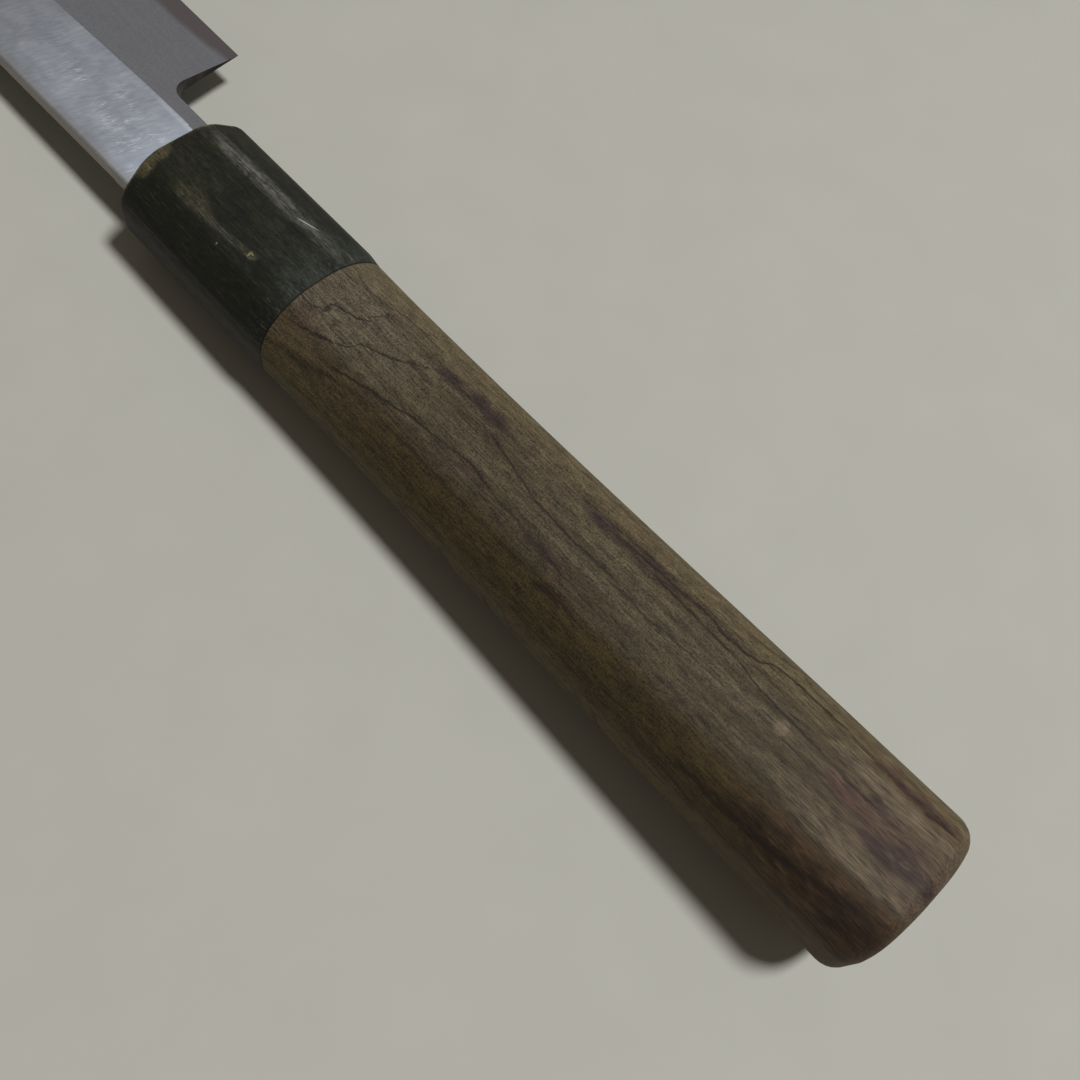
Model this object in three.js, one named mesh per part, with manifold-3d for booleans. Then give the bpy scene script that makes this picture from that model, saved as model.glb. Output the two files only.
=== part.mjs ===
// Yanagiba: a long single-bevel slicing knife with a softened octagonal handle.
// Millimetres. +X runs from the handle to the tip, -Y to the cutting edge, and +Z out of the bevelled face.
// While the pieces are made, x = 0 is the front of the ferrule and z = 0 is the handle's flat underside.

import * as THREE from 'three';
import { mergeVertices } from 'three/addons/utils/BufferGeometryUtils.js';
import Module from 'manifold-3d';

const wasm = await Module();
wasm.setup();

// Handle
const ferruleLength = 35;
const gripLength = 117;
const frontWidth = 24;
const frontThickness = 18.7;
const jointWidth = 24.2;
const jointThickness = 19.45;
const jointEase = 2.5;
const gripWidth = 23.3;
const gripThickness = 19.2;
const buttWidth = 24.8;
const buttThickness = 23.3;
const chamferWidth = 6.6;
const chamferHeight = 5.1;
const frontCornerReach = 2.4;
const jointCornerReach = 3.4;
const buttCornerReach = 4;
const frontRimBevel = 0.5;
const buttRounding = 3.2;
const gripFlare = 0.35;
const mouthWall = 6;

// Shares of the grip's length: where its flare at the ferrule ends, where it starts and ends growing wider,
// and how late it grows thicker
const flareEnd = 0.09;
const swellStart = 0.2;
const swellEnd = 0.85;
const swellDelay = 0.8;

// Blade, as seen on the bevelled face
const bladeLength = 270;
const neckLength = 18.8;
const heelHeight = 32.8;
const neckHeight = 18.1;
const spineAboveAxis = 9;
const spineDropAtTip = 5;
const neckDip = 0.8;
const neckDipLength = 41;
const bevelWidthAtHeel = 17.9;
const ridgeRise = 7;
const heelLean = 1.4;
const notchRadius = 3;
const tipHeight = 1;

// Blade, through its thickness
const neckThickness = 3;
const tipThickness = 1.6;
const spineRounding = 0.9;
const edgeSteelThickness = 0.8;
const edgeSteelStart = 8;
const hollowDepth = 0.3;
const hollowRim = 2;
const hollowRunIn = 15;

// Tang, and what holds it
const tangLength = 105;
const tangHeightAtNeck = 9;
const tangHeightAtEnd = 5.5;
const tangThicknessAtNeck = 2.6;
const tangThicknessAtEnd = 1.8;
const tangInNeck = 2;
const resinSide = 0.8;
const resinFace = 0.7;
const resinPastTang = 3;
const dowelDiameter = 14.4;
const dowelPastSlot = 6;
const glueGap = 0.3;

// How finely curves are divided
const cornerSteps = 4;
const roundingSteps = 4;
const gripSteps = 12;
const bladeSteps = 36;
const hollowSteps = 6;
const dowelSides = 32;
const cutMargin = 2;

// Places that several pieces share
const axisHeight = frontThickness / 2;
const backPlane = axisHeight - neckThickness / 2;
const steelPlane = backPlane + edgeSteelThickness;
const edgeAtHeel = spineAboveAxis - heelHeight;
const neckUnderside = spineAboveAxis - neckHeight;
const tipSide = spineAboveAxis - spineDropAtTip;
const ridgeAtHeel = edgeAtHeel + bevelWidthAtHeel;
const buttX = -ferruleLength - gripLength;
const slotHeight = tangHeightAtNeck + 2 * (resinSide + glueGap);
const slotThickness = tangThicknessAtNeck + 2 * (resinFace + glueGap);
const slotEnd = -tangLength - glueGap - resinPastTang;
const dowelEnd = slotEnd - dowelPastSlot;
const boreDiameter = dowelDiameter + 2 * glueGap;

// Turns a closed geometry into a solid that can be joined and cut
function solid(geometry) {
  const bare = geometry.clone();
  bare.deleteAttribute('normal');
  bare.deleteAttribute('uv');
  const merged = mergeVertices(bare, 1e-5);
  return new wasm.Manifold(new wasm.Mesh({
    numProp: 3,
    vertProperties: new Float32Array(merged.attributes.position.array),
    triVerts: new Uint32Array(merged.index.array),
  }));
}

function geometryOf(body) {
  const mesh = body.getMesh();
  const geometry = new THREE.BufferGeometry();
  geometry.setAttribute('position', new THREE.BufferAttribute(new Float32Array(mesh.vertProperties), 3));
  geometry.setIndex(new THREE.BufferAttribute(new Uint32Array(mesh.triVerts), 1));
  return geometry;
}

// Skins a run of sections { x, ring } in order of x. Every ring has the same number of (y, z) points,
// counter-clockwise as seen from the tip, and both ends are closed.
function loft(sections) {
  const count = sections[0].ring.length;
  const last = sections.length - 1;
  const positions = sections.flatMap(({ x, ring }) => ring.flatMap((p) => [x, p.x, p.y]));
  const index = [];
  for (let i = 0; i < last; i += 1) {
    for (let j = 0; j < count; j += 1) {
      const a = i * count + j;
      const b = i * count + ((j + 1) % count);
      index.push(a, b, a + count, b, b + count, a + count);
    }
  }
  for (const [a, b, c] of THREE.ShapeUtils.triangulateShape(sections[0].ring, [])) {
    index.push(c, b, a);
  }
  for (const [a, b, c] of THREE.ShapeUtils.triangulateShape(sections[last].ring, [])) {
    index.push(last * count + a, last * count + b, last * count + c);
  }
  const geometry = new THREE.BufferGeometry();
  geometry.setAttribute('position', new THREE.Float32BufferAttribute(positions, 3));
  geometry.setIndex(index);
  return geometry;
}

// A block from x0 to x1, centred on the tang's axis
function tangBlock(x0, x1, height, thickness) {
  return new THREE.BoxGeometry(x1 - x0, height, thickness).translate((x0 + x1) / 2, 0, axisHeight);
}

// A round bar from x0 to x1, centred on the tang's axis
function tangBar(x0, x1, diameter) {
  return new THREE.CylinderGeometry(diameter / 2, diameter / 2, x1 - x0, dowelSides)
    .rotateZ(Math.PI / 2)
    .translate((x0 + x1) / 2, 0, axisHeight);
}

// One octagonal section of the handle, standing on z = 0, with its corners softened.
// An inset shrinks it about its own centre, for a rounded or bevelled end.
function handleRing(width, thickness, reach, inset = 0) {
  const side = width / 2;
  const flat = side - chamferWidth;
  const shoulder = thickness - chamferHeight;
  const corners = [
    new THREE.Vector2(side, chamferHeight),
    new THREE.Vector2(side, shoulder),
    new THREE.Vector2(flat, thickness),
    new THREE.Vector2(-flat, thickness),
    new THREE.Vector2(-side, shoulder),
    new THREE.Vector2(-side, chamferHeight),
    new THREE.Vector2(-flat, 0),
    new THREE.Vector2(flat, 0),
  ];
  const centre = new THREE.Vector2(0, thickness / 2);
  const shrink = 1 - inset / side;
  return corners.flatMap((corner, i) => {
    const towards = (other) => other.clone().sub(corner).setLength(reach).add(corner);
    const before = towards(corners[(i + 7) % 8]);
    const after = towards(corners[(i + 1) % 8]);
    return new THREE.QuadraticBezierCurve(before, corner, after).getPoints(cornerSteps);
  }).map((p) => p.sub(centre).multiplyScalar(shrink).add(centre));
}

// The grip's section at x. It flares a little at the ferrule, is narrowest in its front half and swells
// towards the butt.
function gripRing(x, inset) {
  const { lerp, smoothstep } = THREE.MathUtils;
  const share = (-ferruleLength - x) / gripLength;
  const flare = gripFlare * (1 - smoothstep(share, 0, flareEnd));
  const width = lerp(gripWidth, buttWidth, smoothstep(share, swellStart, swellEnd)) + flare;
  const thickness = lerp(gripThickness, buttThickness, lerp(share, share * share, swellDelay));
  return handleRing(width, thickness, lerp(jointCornerReach, buttCornerReach, share), inset);
}

// The ferrule stands slightly proud of the grip, and eases down to its section over the last stretch
function ferruleSolid() {
  const skin = loft([
    { x: -ferruleLength, ring: gripRing(-ferruleLength, 0) },
    { x: -ferruleLength + jointEase, ring: handleRing(jointWidth, jointThickness, jointCornerReach) },
    { x: -frontRimBevel, ring: handleRing(frontWidth, frontThickness, frontCornerReach) },
    { x: 0, ring: handleRing(frontWidth, frontThickness, frontCornerReach, frontRimBevel) },
  ]);
  const bore = tangBar(-ferruleLength - cutMargin, -mouthWall, boreDiameter);
  const slot = tangBlock(-mouthWall - cutMargin, cutMargin, slotHeight, slotThickness);
  return solid(skin).subtract(solid(bore)).subtract(solid(slot));
}

function gripSolid() {
  const butt = Array.from({ length: roundingSteps }, (_, i) => {
    const angle = (i / roundingSteps) * (Math.PI / 2);
    const x = buttX + buttRounding * (1 - Math.cos(angle));
    return { x, ring: gripRing(x, buttRounding * (1 - Math.sin(angle))) };
  });
  const swell = Array.from({ length: gripSteps + 1 }, (_, i) => {
    const x = THREE.MathUtils.lerp(buttX + buttRounding, -ferruleLength, i / gripSteps);
    return { x, ring: gripRing(x, 0) };
  });
  const bore = tangBar(dowelEnd - glueGap, -ferruleLength + cutMargin, boreDiameter);
  return solid(loft([...butt, ...swell])).subtract(solid(bore));
}

function dowelSolid() {
  const bar = tangBar(dowelEnd, -mouthWall, dowelDiameter);
  const slot = tangBlock(slotEnd, -mouthWall + cutMargin, slotHeight, slotThickness);
  return solid(bar).subtract(solid(slot));
}

// The tang's taper from the neck to its end, wider all round by a gap where it is a cavity
function tangTaper(gap, frontX) {
  const slope = (near, far) => (near - far) / tangLength;
  const ringAt = (x) => {
    const halfHeight = (tangHeightAtNeck + x * slope(tangHeightAtNeck, tangHeightAtEnd)) / 2 + gap;
    const halfThickness = (tangThicknessAtNeck + x * slope(tangThicknessAtNeck, tangThicknessAtEnd)) / 2 + gap;
    return [
      new THREE.Vector2(-halfHeight, axisHeight - halfThickness),
      new THREE.Vector2(halfHeight, axisHeight - halfThickness),
      new THREE.Vector2(halfHeight, axisHeight + halfThickness),
      new THREE.Vector2(-halfHeight, axisHeight + halfThickness),
    ];
  };
  const endX = -tangLength - gap;
  return loft([{ x: endX, ring: ringAt(endX) }, { x: frontX, ring: ringAt(frontX) }]);
}

function resinSolid() {
  const fill = tangBlock(slotEnd, -mouthWall, slotHeight, slotThickness);
  return solid(fill).subtract(solid(tangTaper(glueGap, cutMargin)));
}

function sealSolid() {
  const fill = tangBlock(-mouthWall, 0, slotHeight, slotThickness);
  return solid(fill).subtract(solid(tangTaper(glueGap, cutMargin)));
}

// The blade's lines at a distance x from its shoulder. The edge stays straight and then sweeps up to the tip,
// the spine dips a little, and the ridge between the flat and the bevel runs out at the tip.
// Over the neck, spine and ridge fall slightly towards the ferrule.
function bladeAt(x) {
  const along = Math.max(0, (x - neckLength) / (bladeLength - neckLength));
  const fall = neckDip * Math.max(0, 1 - x / neckDipLength);
  const half = tipHeight / 2;
  const spine = spineAboveAxis + (tipSide + half - spineAboveAxis) * along ** 6 - fall;
  const edge = edgeAtHeel + (tipSide - half - edgeAtHeel) * along ** 4.2;
  const ridge = ridgeAtHeel + ridgeRise * along + (tipSide - ridgeAtHeel - ridgeRise) * along ** 6 - fall;
  const thickness = neckThickness + (tipThickness - neckThickness) * (x / bladeLength);
  const steelLine = edge + (ridge - edge) * (edgeSteelThickness / thickness);
  return { spine, edge, ridge, steelLine, face: backPlane + thickness, height: spine - edge };
}

// Stations from x0 to the tip, closer together towards the tip
function bladeStations(x0) {
  return Array.from({ length: bladeSteps + 1 }, (_, i) => {
    const share = i / bladeSteps;
    return x0 + (bladeLength - x0) * (1 - (1 - share) ** 1.6);
  });
}

// What is cut away behind the heel and under the neck, with a round inner corner
function notchTool() {
  const outline = new THREE.Shape();
  const innerX = neckLength - heelLean;
  outline.moveTo(-cutMargin, edgeAtHeel - cutMargin);
  outline.lineTo(neckLength, edgeAtHeel - cutMargin);
  outline.lineTo(neckLength, edgeAtHeel);
  outline.absarc(innerX - notchRadius, neckUnderside - notchRadius, notchRadius, 0, Math.PI / 2);
  outline.lineTo(-cutMargin, neckUnderside);
  const depth = neckThickness + 2 * cutMargin;
  const options = { depth, bevelEnabled: false, curveSegments: 8 };
  return solid(new THREE.ExtrudeGeometry(outline, options).translate(0, 0, backPlane - cutMargin));
}

// The softened corner between the spine and the flat, as wide as the blade has room for near its tip
function spineCurve(spine, ridge, face) {
  const reach = Math.min(spineRounding, (spine - ridge) / 2, (face - steelPlane) / 2);
  const corner = new THREE.Vector2(spine, face);
  const below = new THREE.Vector2(spine, face - reach);
  const inside = new THREE.Vector2(spine - reach, face);
  return new THREE.QuadraticBezierCurve(below, corner, inside).getPoints(cornerSteps);
}

function bladeBodySolid() {
  const upper = bladeStations(0).map((x) => {
    const { spine, ridge, steelLine, face } = bladeAt(x);
    return {
      x,
      ring: [
        new THREE.Vector2(steelLine, steelPlane),
        new THREE.Vector2(spine, steelPlane),
        ...spineCurve(spine, ridge, face),
        new THREE.Vector2(ridge, face),
      ],
    };
  });
  const neckBack = [0, edgeSteelStart].map((x) => {
    const { spine, edge, steelLine } = bladeAt(x);
    return {
      x,
      ring: [
        new THREE.Vector2(edge, backPlane),
        new THREE.Vector2(spine, backPlane),
        new THREE.Vector2(spine, steelPlane),
        new THREE.Vector2(steelLine, steelPlane),
      ],
    };
  });
  return solid(loft(upper))
    .add(solid(loft(neckBack)))
    .subtract(notchTool())
    .add(solid(tangTaper(0, tangInNeck)));
}

// The hard layer on the blade's back, hollow-ground between a rim along the spine and one along the edge
function edgeSteelSolid() {
  const sections = bladeStations(edgeSteelStart).map((x) => {
    const { spine, edge, steelLine, height } = bladeAt(x);
    const share = height / heelHeight;
    const rim = hollowRim * share;
    const depth = hollowDepth * share * THREE.MathUtils.smoothstep(x, neckLength, neckLength + hollowRunIn);
    const back = Array.from({ length: hollowSteps + 1 }, (_, i) => {
      const across = i / hollowSteps;
      const y = THREE.MathUtils.lerp(edge + rim, spine - rim, across);
      return new THREE.Vector2(y, backPlane + depth * 4 * across * (1 - across));
    });
    return {
      x,
      ring: [
        new THREE.Vector2(edge, backPlane),
        ...back,
        new THREE.Vector2(spine, backPlane),
        new THREE.Vector2(spine, steelPlane),
        new THREE.Vector2(steelLine, steelPlane),
      ],
    };
  });
  return solid(loft(sections)).subtract(notchTool());
}

const finishes = {
  iron: new THREE.MeshStandardMaterial({ color: 0x9b9da2, roughness: 0.38, metalness: 1 }),
  steel: new THREE.MeshStandardMaterial({ color: 0x6f6a66, roughness: 0.25, metalness: 1 }),
  horn: new THREE.MeshStandardMaterial({ color: 0x2c2d26, roughness: 0.45, metalness: 0 }),
  hardwood: new THREE.MeshStandardMaterial({ color: 0x5f4a3c, roughness: 0.6, metalness: 0 }),
  softwood: new THREE.MeshStandardMaterial({ color: 0xcdb894, roughness: 0.8, metalness: 0 }),
  resin: new THREE.MeshStandardMaterial({ color: 0x4a3a22, roughness: 0.35, metalness: 0 }),
};

const pieces = [
  ['blade_body', bladeBodySolid(), finishes.iron],
  ['edge_steel', edgeSteelSolid(), finishes.steel],
  ['ferrule', ferruleSolid(), finishes.horn],
  ['handle_body', gripSolid(), finishes.hardwood],
  ['core_dowel', dowelSolid(), finishes.softwood],
  ['tang_resin', resinSolid(), finishes.resin],
  ['mouth_seal', sealSolid(), finishes.resin],
];

// The finished knife stands with its origin under the middle of its box
const knife = new THREE.Group();
for (const [name, body, material] of pieces) {
  const mesh = new THREE.Mesh(geometryOf(body), material);
  mesh.name = name;
  knife.add(mesh);
}
const box = new THREE.Box3().setFromObject(knife);
const middle = box.getCenter(new THREE.Vector3());
knife.position.set(-middle.x, -middle.y, -box.min.z);
knife.updateMatrixWorld(true);

export default knife;
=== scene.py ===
# %% [markdown]
# A yanagiba is a long slicing knife with one bevel, on a softened octagonal handle.
# The imported CAD model is loaded first and stays where it is. Each visible piece is then modelled again
# with finer edges, in the same place, and given a finish built from shader nodes.
# The finished pieces have to stay inside it.

# %% Load the frame
import math

import bmesh
import bpy
from mathutils import Matrix, Vector


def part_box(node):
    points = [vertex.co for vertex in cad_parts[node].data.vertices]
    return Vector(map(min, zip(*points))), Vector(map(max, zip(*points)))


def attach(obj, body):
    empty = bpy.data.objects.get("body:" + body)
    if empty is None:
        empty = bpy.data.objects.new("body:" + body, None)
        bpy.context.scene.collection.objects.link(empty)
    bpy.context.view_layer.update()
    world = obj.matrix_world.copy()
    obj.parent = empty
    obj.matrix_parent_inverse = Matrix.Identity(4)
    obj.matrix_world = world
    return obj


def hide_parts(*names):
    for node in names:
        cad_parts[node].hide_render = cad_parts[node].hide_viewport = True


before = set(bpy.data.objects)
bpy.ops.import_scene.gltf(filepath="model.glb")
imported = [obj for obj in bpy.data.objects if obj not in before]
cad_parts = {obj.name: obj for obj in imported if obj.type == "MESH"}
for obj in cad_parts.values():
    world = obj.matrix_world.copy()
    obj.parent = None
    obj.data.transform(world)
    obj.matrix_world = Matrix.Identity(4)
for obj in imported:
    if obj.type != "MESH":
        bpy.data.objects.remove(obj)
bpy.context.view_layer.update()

print("nodes:", sorted(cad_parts))

# %% [markdown]
# A knife is measured from where the blade leaves the handle, so every size below is in millimetres from
# the front of the horn collar (x), from the handle's long axis (y) and from its flat underside (z).
# Both places are read from the collar's own box. One function turns such numbers into the frame's metres.

# %% Places measured from the collar's front
MM = 0.001
collar_low, collar_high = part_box("ferrule")
FRONT = Vector((collar_high.x, (collar_low.y + collar_high.y) / 2, 0))


def at(x, y, z):
    return FRONT + MM * Vector((x, y, z))


def in_mm(place):
    return (place - FRONT) / MM


print("collar front at", [round(c, 4) for c in FRONT])

# %% [markdown]
# The picture was taken by hand, close to the butt and looking down the knife, so the blade runs out of the
# frame. The camera's place and its three directions were worked out from the picture's perspective and from
# the handle's edges. A camera looks along its own -Z, so its turn has the columns right, up and backwards.

# %% Camera
SENSOR_WIDTH = 36
FOCAL_PIXELS = 1128.5
PICTURE_PIXELS = 1080
eye = at(-122.508, 57.961, 155.312)
right = Vector((-0.678567, -0.726401, 0.109028))
up = Vector((0.694294, -0.585828, 0.418045))
camera_data = bpy.data.cameras.new("camera")
camera_data.sensor_width = SENSOR_WIDTH
camera_data.lens = SENSOR_WIDTH * FOCAL_PIXELS / PICTURE_PIXELS
camera_data.clip_start = 0.01
camera = bpy.data.objects.new("camera", camera_data)
bpy.context.scene.collection.objects.link(camera)
turn = Matrix((right, up, right.cross(up))).transposed()
camera.matrix_world = Matrix.Translation(eye) @ turn.to_4x4()
bpy.context.scene.camera = camera
print("camera lens", round(camera_data.lens, 2), "mm")

# %% [markdown]
# The blade is heavier than the handle, so a knife laid down rests on the collar's lower front edge and on
# its tip, with the butt a few millimetres in the air. The floor leans by that small angle, and the knife
# stays as the CAD has it.

# %% Floor
BLADE_BACK = 7.85
BLADE_LENGTH = 270
FRONT_RIM = 0.5
FLOOR_SIZE = 8
FLOOR_GAP = 0.05
lean = math.atan2(BLADE_BACK, BLADE_LENGTH + FRONT_RIM)
bpy.ops.object.select_all(action="DESELECT")
bpy.ops.mesh.primitive_plane_add(
    size=FLOOR_SIZE, location=at(-FRONT_RIM, 0, -FLOOR_GAP), rotation=(0, -lean, 0))
floor = bpy.context.object
floor.name = "floor"
print("floor leans", round(math.degrees(lean), 2), "degrees")

# %% [markdown]
# One lamp gives the soft-edged shadow that falls towards the spine's side of the handle. The world fills
# the shadow a little. Metal has no colour of its own to show, only what it mirrors, so the
# same world is a brighter pale room for the camera and for reflections. Light Path tells the rays apart.

# %% Lamp and world
KEY_DIRECTION = Vector((-0.32, -0.2, 0.93)).normalized()
KEY_DISTANCE = 1.4
KEY_AIM = at(-60, 0, 10)
key_data = bpy.data.lights.new("key", "AREA")
key_data.shape = "DISK"
key_data.size = 0.24
key_data.energy = 16.2
key_data.color = (1, 0.985, 0.96)
key = bpy.data.objects.new("key", key_data)
key.location = KEY_AIM + KEY_DISTANCE * KEY_DIRECTION
key.rotation_mode = "QUATERNION"
key.rotation_quaternion = KEY_DIRECTION.to_track_quat("Z", "Y")
bpy.context.scene.collection.objects.link(key)

scene = bpy.context.scene
scene.view_settings.view_transform = "Standard"
scene.world = bpy.data.worlds.new("room")
scene.world.use_nodes = True
print("key lamp", key_data.energy, "W")

# %% [markdown]
# A finish is a small program of nodes. Wiring it by hand hides the sums in it, so one class wraps a socket
# and lets Python's own operators add the Math nodes, and one method adds any other node. The finishes below
# then read like formulas. The same two classes serve the world, the floor and the knife.

# %% Sockets that can be added and multiplied
class Wire:
    """One output socket. Arithmetic on it adds Math nodes to the tree that it belongs to."""

    def __init__(self, bench, socket):
        self.bench = bench
        self.socket = socket

    def math(self, operation, first, second=0.0):
        return self.bench.node("ShaderNodeMath", {"operation": operation}, {0: first, 1: second})

    def __add__(self, other):
        return self.math("ADD", self, other)

    def __sub__(self, other):
        return self.math("SUBTRACT", self, other)

    def __rsub__(self, other):
        return self.math("SUBTRACT", other, self)

    def __mul__(self, other):
        return self.math("MULTIPLY", self, other)

    def __truediv__(self, other):
        return self.math("DIVIDE", self, other)

    def __pow__(self, other):
        return self.math("POWER", self, other)

    def __abs__(self):
        return self.math("ABSOLUTE", self)

    def above(self, other):
        return self.math("MAXIMUM", self, other)

    def below(self, other):
        return self.math("MINIMUM", self, other)

    __radd__ = __add__
    __rmul__ = __mul__


class Bench:
    """A node tree under construction."""

    def __init__(self, tree):
        self.tree = tree
        tree.nodes.clear()

    def node(self, kind, settings=None, inputs=None, out=0):
        made = self.tree.nodes.new(kind)
        for name, value in (settings or {}).items():
            setattr(made, name, value)
        for key, value in (inputs or {}).items():
            if isinstance(value, Wire):
                self.tree.links.new(value.socket, made.inputs[key])
            else:
                made.inputs[key].default_value = value
        return Wire(self, made.outputs[out]) if made.outputs else None

    def smooth(self, value, low, high):
        """0 below low, 1 above high, and a soft step between. Low may be the larger one."""
        inputs = {"Value": value, "From Min": low, "From Max": high}
        return self.node("ShaderNodeMapRange", {"interpolation_type": "SMOOTHSTEP"}, inputs)

    def mix(self, mask, first, second, blend="MIX"):
        settings = {"data_type": "RGBA", "blend_type": blend}
        return self.node("ShaderNodeMix", settings, {0: mask, 6: first, 7: second}, out=2)

    def noise(self, place, size, detail=2.0, turn=0.0, seed=0.0):
        """Soft noise around 0.5. Size is how long one feature is along each axis, in millimetres."""
        settings = {"vector_type": "TEXTURE"}
        inputs = {"Vector": place, "Scale": size, "Rotation": (0, 0, turn), "Location": (seed, seed, seed)}
        grain = self.node("ShaderNodeMapping", settings, inputs)
        return self.node("ShaderNodeTexNoise", {}, {"Vector": grain, "Scale": 1.0, "Detail": detail})

    def millimetres(self):
        """Where a point of the surface is, in millimetres from the collar's front."""
        place = self.node("ShaderNodeTexCoord", out="Object")
        inputs = {"Vector": place, "Scale": (1 / MM,) * 3, "Location": tuple(-FRONT / MM)}
        return self.node("ShaderNodeMapping", {}, inputs)

    def split(self, vector):
        return [self.node("ShaderNodeSeparateXYZ", {}, {0: vector}, out=axis) for axis in "XYZ"]

    def bump(self, height, distance, strength=1.0):
        inputs = {"Height": height, "Distance": distance, "Strength": strength}
        return self.node("ShaderNodeBump", {}, inputs)


def colour(code):
    """A colour written as in a paint program, as the linear numbers that a socket takes."""
    parts = [int(code[i:i + 2], 16) / 255 for i in (0, 2, 4)]
    return tuple(c / 12.92 if c < 0.04045 else ((c + 0.055) / 1.055) ** 2.4 for c in parts) + (1.0,)


def finish(name):
    material = bpy.data.materials.new(name)
    material.use_nodes = True
    return material, Bench(material.node_tree)


def surface(bench, **sockets):
    """The shader that every finish ends in. A socket's name is written with _ for a space."""
    inputs = {name.replace("_", " "): value for name, value in sockets.items()}
    shader = bench.node("ShaderNodeBsdfPrincipled", {}, inputs)
    bench.node("ShaderNodeOutputMaterial", {}, {"Surface": shader})


print("node classes ready")

# %% [markdown]
# The room is plain: a pale floor with hardly any pattern, and walls that are paler overhead than low down,
# as under a wide ceiling lamp. The floor's colour is kept dull, so that the knife's shadow reads and
# nothing clips.

# %% Finishes of the room
FILL_LIGHT = 0.13
LOW_LIGHT = 0.2
HIGH_LIGHT = 0.62
room = Bench(scene.world.node_tree)
rays = ["Is Camera Ray", "Is Glossy Ray", "Is Transmission Ray"]
camera_ray, glossy_ray, clear_ray = [room.node("ShaderNodeLightPath", out=ray) for ray in rays]
fill = room.node("ShaderNodeBackground", {}, {"Color": (1, 0.86, 0.67, 1), "Strength": FILL_LIGHT})
towards = room.split(room.node("ShaderNodeTexCoord", out="Generated"))[2]
low_wall, high_wall = [
    room.node("ShaderNodeBackground", {}, {"Color": (0.97, 0.98, 1, 1), "Strength": strength})
    for strength in (LOW_LIGHT, HIGH_LIGHT)]
wall = room.node("ShaderNodeMixShader", {}, {0: room.smooth(towards, 0.1, 0.9), 1: low_wall, 2: high_wall})
shown = (camera_ray + glossy_ray + clear_ray).below(1.0)
lit_room = room.node("ShaderNodeMixShader", {}, {0: shown, 1: fill, 2: wall})
room.node("ShaderNodeOutputWorld", {}, {"Surface": lit_room})

floor_finish, bench = finish("pale_floor")
mottle = bench.noise(bench.millimetres(), (14, 14, 14), detail=3)
floor_colour = bench.mix(mottle, colour("b3b4ad"), colour("b9bab4"))
surface(bench, Base_Color=floor_colour, Roughness=0.85, Specular_IOR_Level=0.2)
floor.data.materials.append(floor_finish)
print("room and floor finished")

# %% [markdown]
# Modelling goes on in edit mode. An operator acts on whatever is selected, so these helpers begin a piece
# with nothing selected, pick vertices, edges or faces by where they are, and close a piece once it has
# its shape. Closing turns all faces outwards, and polishing lets broad faces rule the shading, as on planed
# wood. A tool that cuts runs past its piece by a margin, because faces that only meet don't cut cleanly.

# %% Helpers for modelling
NEAR = 0.01
MARGIN = 2


def start(name):
    """Begins an empty mesh at the origin, in edit mode."""
    bpy.ops.object.select_all(action="DESELECT")
    bpy.ops.object.add(type="MESH", enter_editmode=True)
    bpy.context.object.name = name
    bpy.context.object.data.name = name
    return bpy.context.object


def corners(part):
    """The places of a vertex, an edge or a face, in millimetres."""
    found = [part] if isinstance(part, bmesh.types.BMVert) else part.verts
    return [in_mm(vertex.co) for vertex in found]


def pick(kind, test):
    """Selects only the parts of a kind, VERT, EDGE or FACE, that pass a test."""
    bpy.ops.mesh.select_mode(type=kind)
    bpy.ops.mesh.select_all(action="DESELECT")
    drawn = bmesh.from_edit_mesh(bpy.context.object.data)
    parts = {"VERT": drawn.verts, "EDGE": drawn.edges, "FACE": drawn.faces}[kind]
    found = [part for part in parts if test(part)]
    for part in found:
        part.select_set(True)
    drawn.select_flush_mode()
    bmesh.update_edit_mesh(bpy.context.object.data)
    return len(found)


def lies_at(x):
    return lambda part: all(abs(place.x - x) < NEAR for place in corners(part))


def close(piece):
    """Turns all faces outwards and leaves edit mode."""
    bpy.ops.mesh.select_all(action="SELECT")
    bpy.ops.mesh.normals_make_consistent(inside=False)
    bpy.ops.object.mode_set(mode="OBJECT")
    return piece


def cut(piece, tool, operation="DIFFERENCE"):
    """Cuts a tool out of a piece, or joins it on, and removes the tool."""
    modifier = piece.modifiers.new(operation.lower(), "BOOLEAN")
    modifier.operation = operation
    modifier.solver = "EXACT"
    modifier.object = tool
    bpy.context.view_layer.objects.active = piece
    bpy.ops.object.modifier_apply(modifier=modifier.name)
    bpy.data.objects.remove(tool)


def polish(piece, angle):
    """Smooth shading up to an angle, with broad faces kept flat."""
    bpy.ops.object.select_all(action="DESELECT")
    piece.select_set(True)
    bpy.context.view_layer.objects.active = piece
    bpy.ops.object.shade_smooth_by_angle(angle=math.radians(angle))
    modifier = piece.modifiers.new("flat faces", "WEIGHTED_NORMAL")
    modifier.keep_sharp = True
    bpy.ops.object.modifier_apply(modifier=modifier.name)


def mount(piece, node):
    """Lets a piece stand for its CAD node, and says what it is."""
    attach(piece, "root")
    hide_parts(node)
    print(piece.name, "has", len(piece.data.polygons), "faces")


# %% [markdown]
# The handle is an octagon whose eight ridges have been sanded round. A plane is set across the handle,
# its four corners are bevelled into eight and those eight into short curves. Chamfers are wider
# than they are high, so the plane is stretched first and squeezed back after the first bevel.
# A row of such outlines, bridged one to the next, makes a length of handle.

# %% Outlines across the handle
CHAMFER_WIDTH = 6.6
CHAMFER_HEIGHT = 5.1
RIDGE_STEPS = 6
BORE_SIDES = 32


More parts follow.
